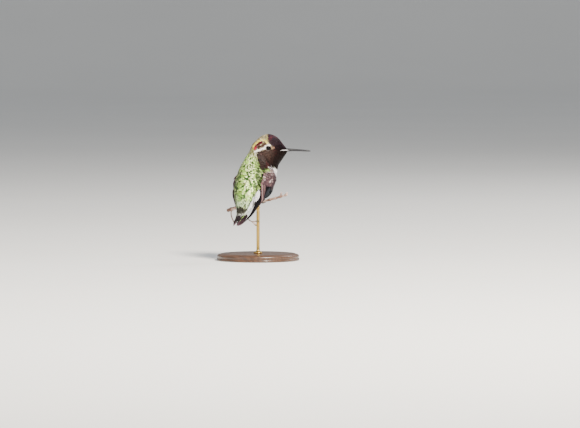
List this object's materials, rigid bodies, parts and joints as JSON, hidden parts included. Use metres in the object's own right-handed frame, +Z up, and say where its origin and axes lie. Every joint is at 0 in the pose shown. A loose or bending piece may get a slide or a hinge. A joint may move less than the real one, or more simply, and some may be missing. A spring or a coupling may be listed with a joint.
{
  "type": "hummingbird",
  "caption": "Life-size still model of a male hummingbird perched upright on a cut twig, head turned to its right, on a small round display stand.",
  "frame": {"origin": "centre of the stand's underside, on the rod's axis, in the plane of the floor", "axes": "+Z up, +X the way the bird's breast faces, +Y the bird's left; the twig lies along Y"},
  "size_m": [0.06, 0.06, 0.0914],
  "materials": {
    "head_feathers": "glossy dark purple-bronze scales with a crimson and gold patch",
    "body_feathers": "iridescent yellow-green scale feathers, pale below",
    "flight_feathers": "dark purple-brown vanes with a satin sheen",
    "wing_coverts": "mauve-brown small feathers",
    "bill": "satin slate-black horn",
    "eye": "wet dark brown, almost black",
    "foot_skin": "dull black-brown scaled skin",
    "bark": "dry pinkish-grey bark",
    "stand_wood": "satin dark walnut",
    "stand_brass": "satin brass"
  },
  "bodies": {
    "root": {"head": "head_feathers", "neck": "body_feathers", "trunk": "body_feathers", "rump": "body_feathers", "eye_left": "eye", "wing_left_coverts": "wing_coverts", "wing_left_secondaries": "flight_feathers", "wing_left_primaries": "flight_feathers", "tail_left_1": "flight_feathers", "tail_left_2": "flight_feathers", "tail_left_3": "flight_feathers", "tail_left_4": "flight_feathers", "tail_left_5": "flight_feathers", "leg_left": "foot_skin", "eye_right": "eye", "wing_right_coverts": "wing_coverts", "wing_right_secondaries": "flight_feathers", "wing_right_primaries": "flight_feathers", "tail_right_1": "flight_feathers", "tail_right_2": "flight_feathers", "tail_right_3": "flight_feathers", "tail_right_4": "flight_feathers", "tail_right_5": "flight_feathers", "leg_right": "foot_skin", "bill_upper": "bill", "bill_lower": "bill", "perch_twig": "bark", "stand_base": "stand_wood", "stand_rod": "stand_brass", "stand_cradle": "stand_brass"}
  },
  "joints": []
}
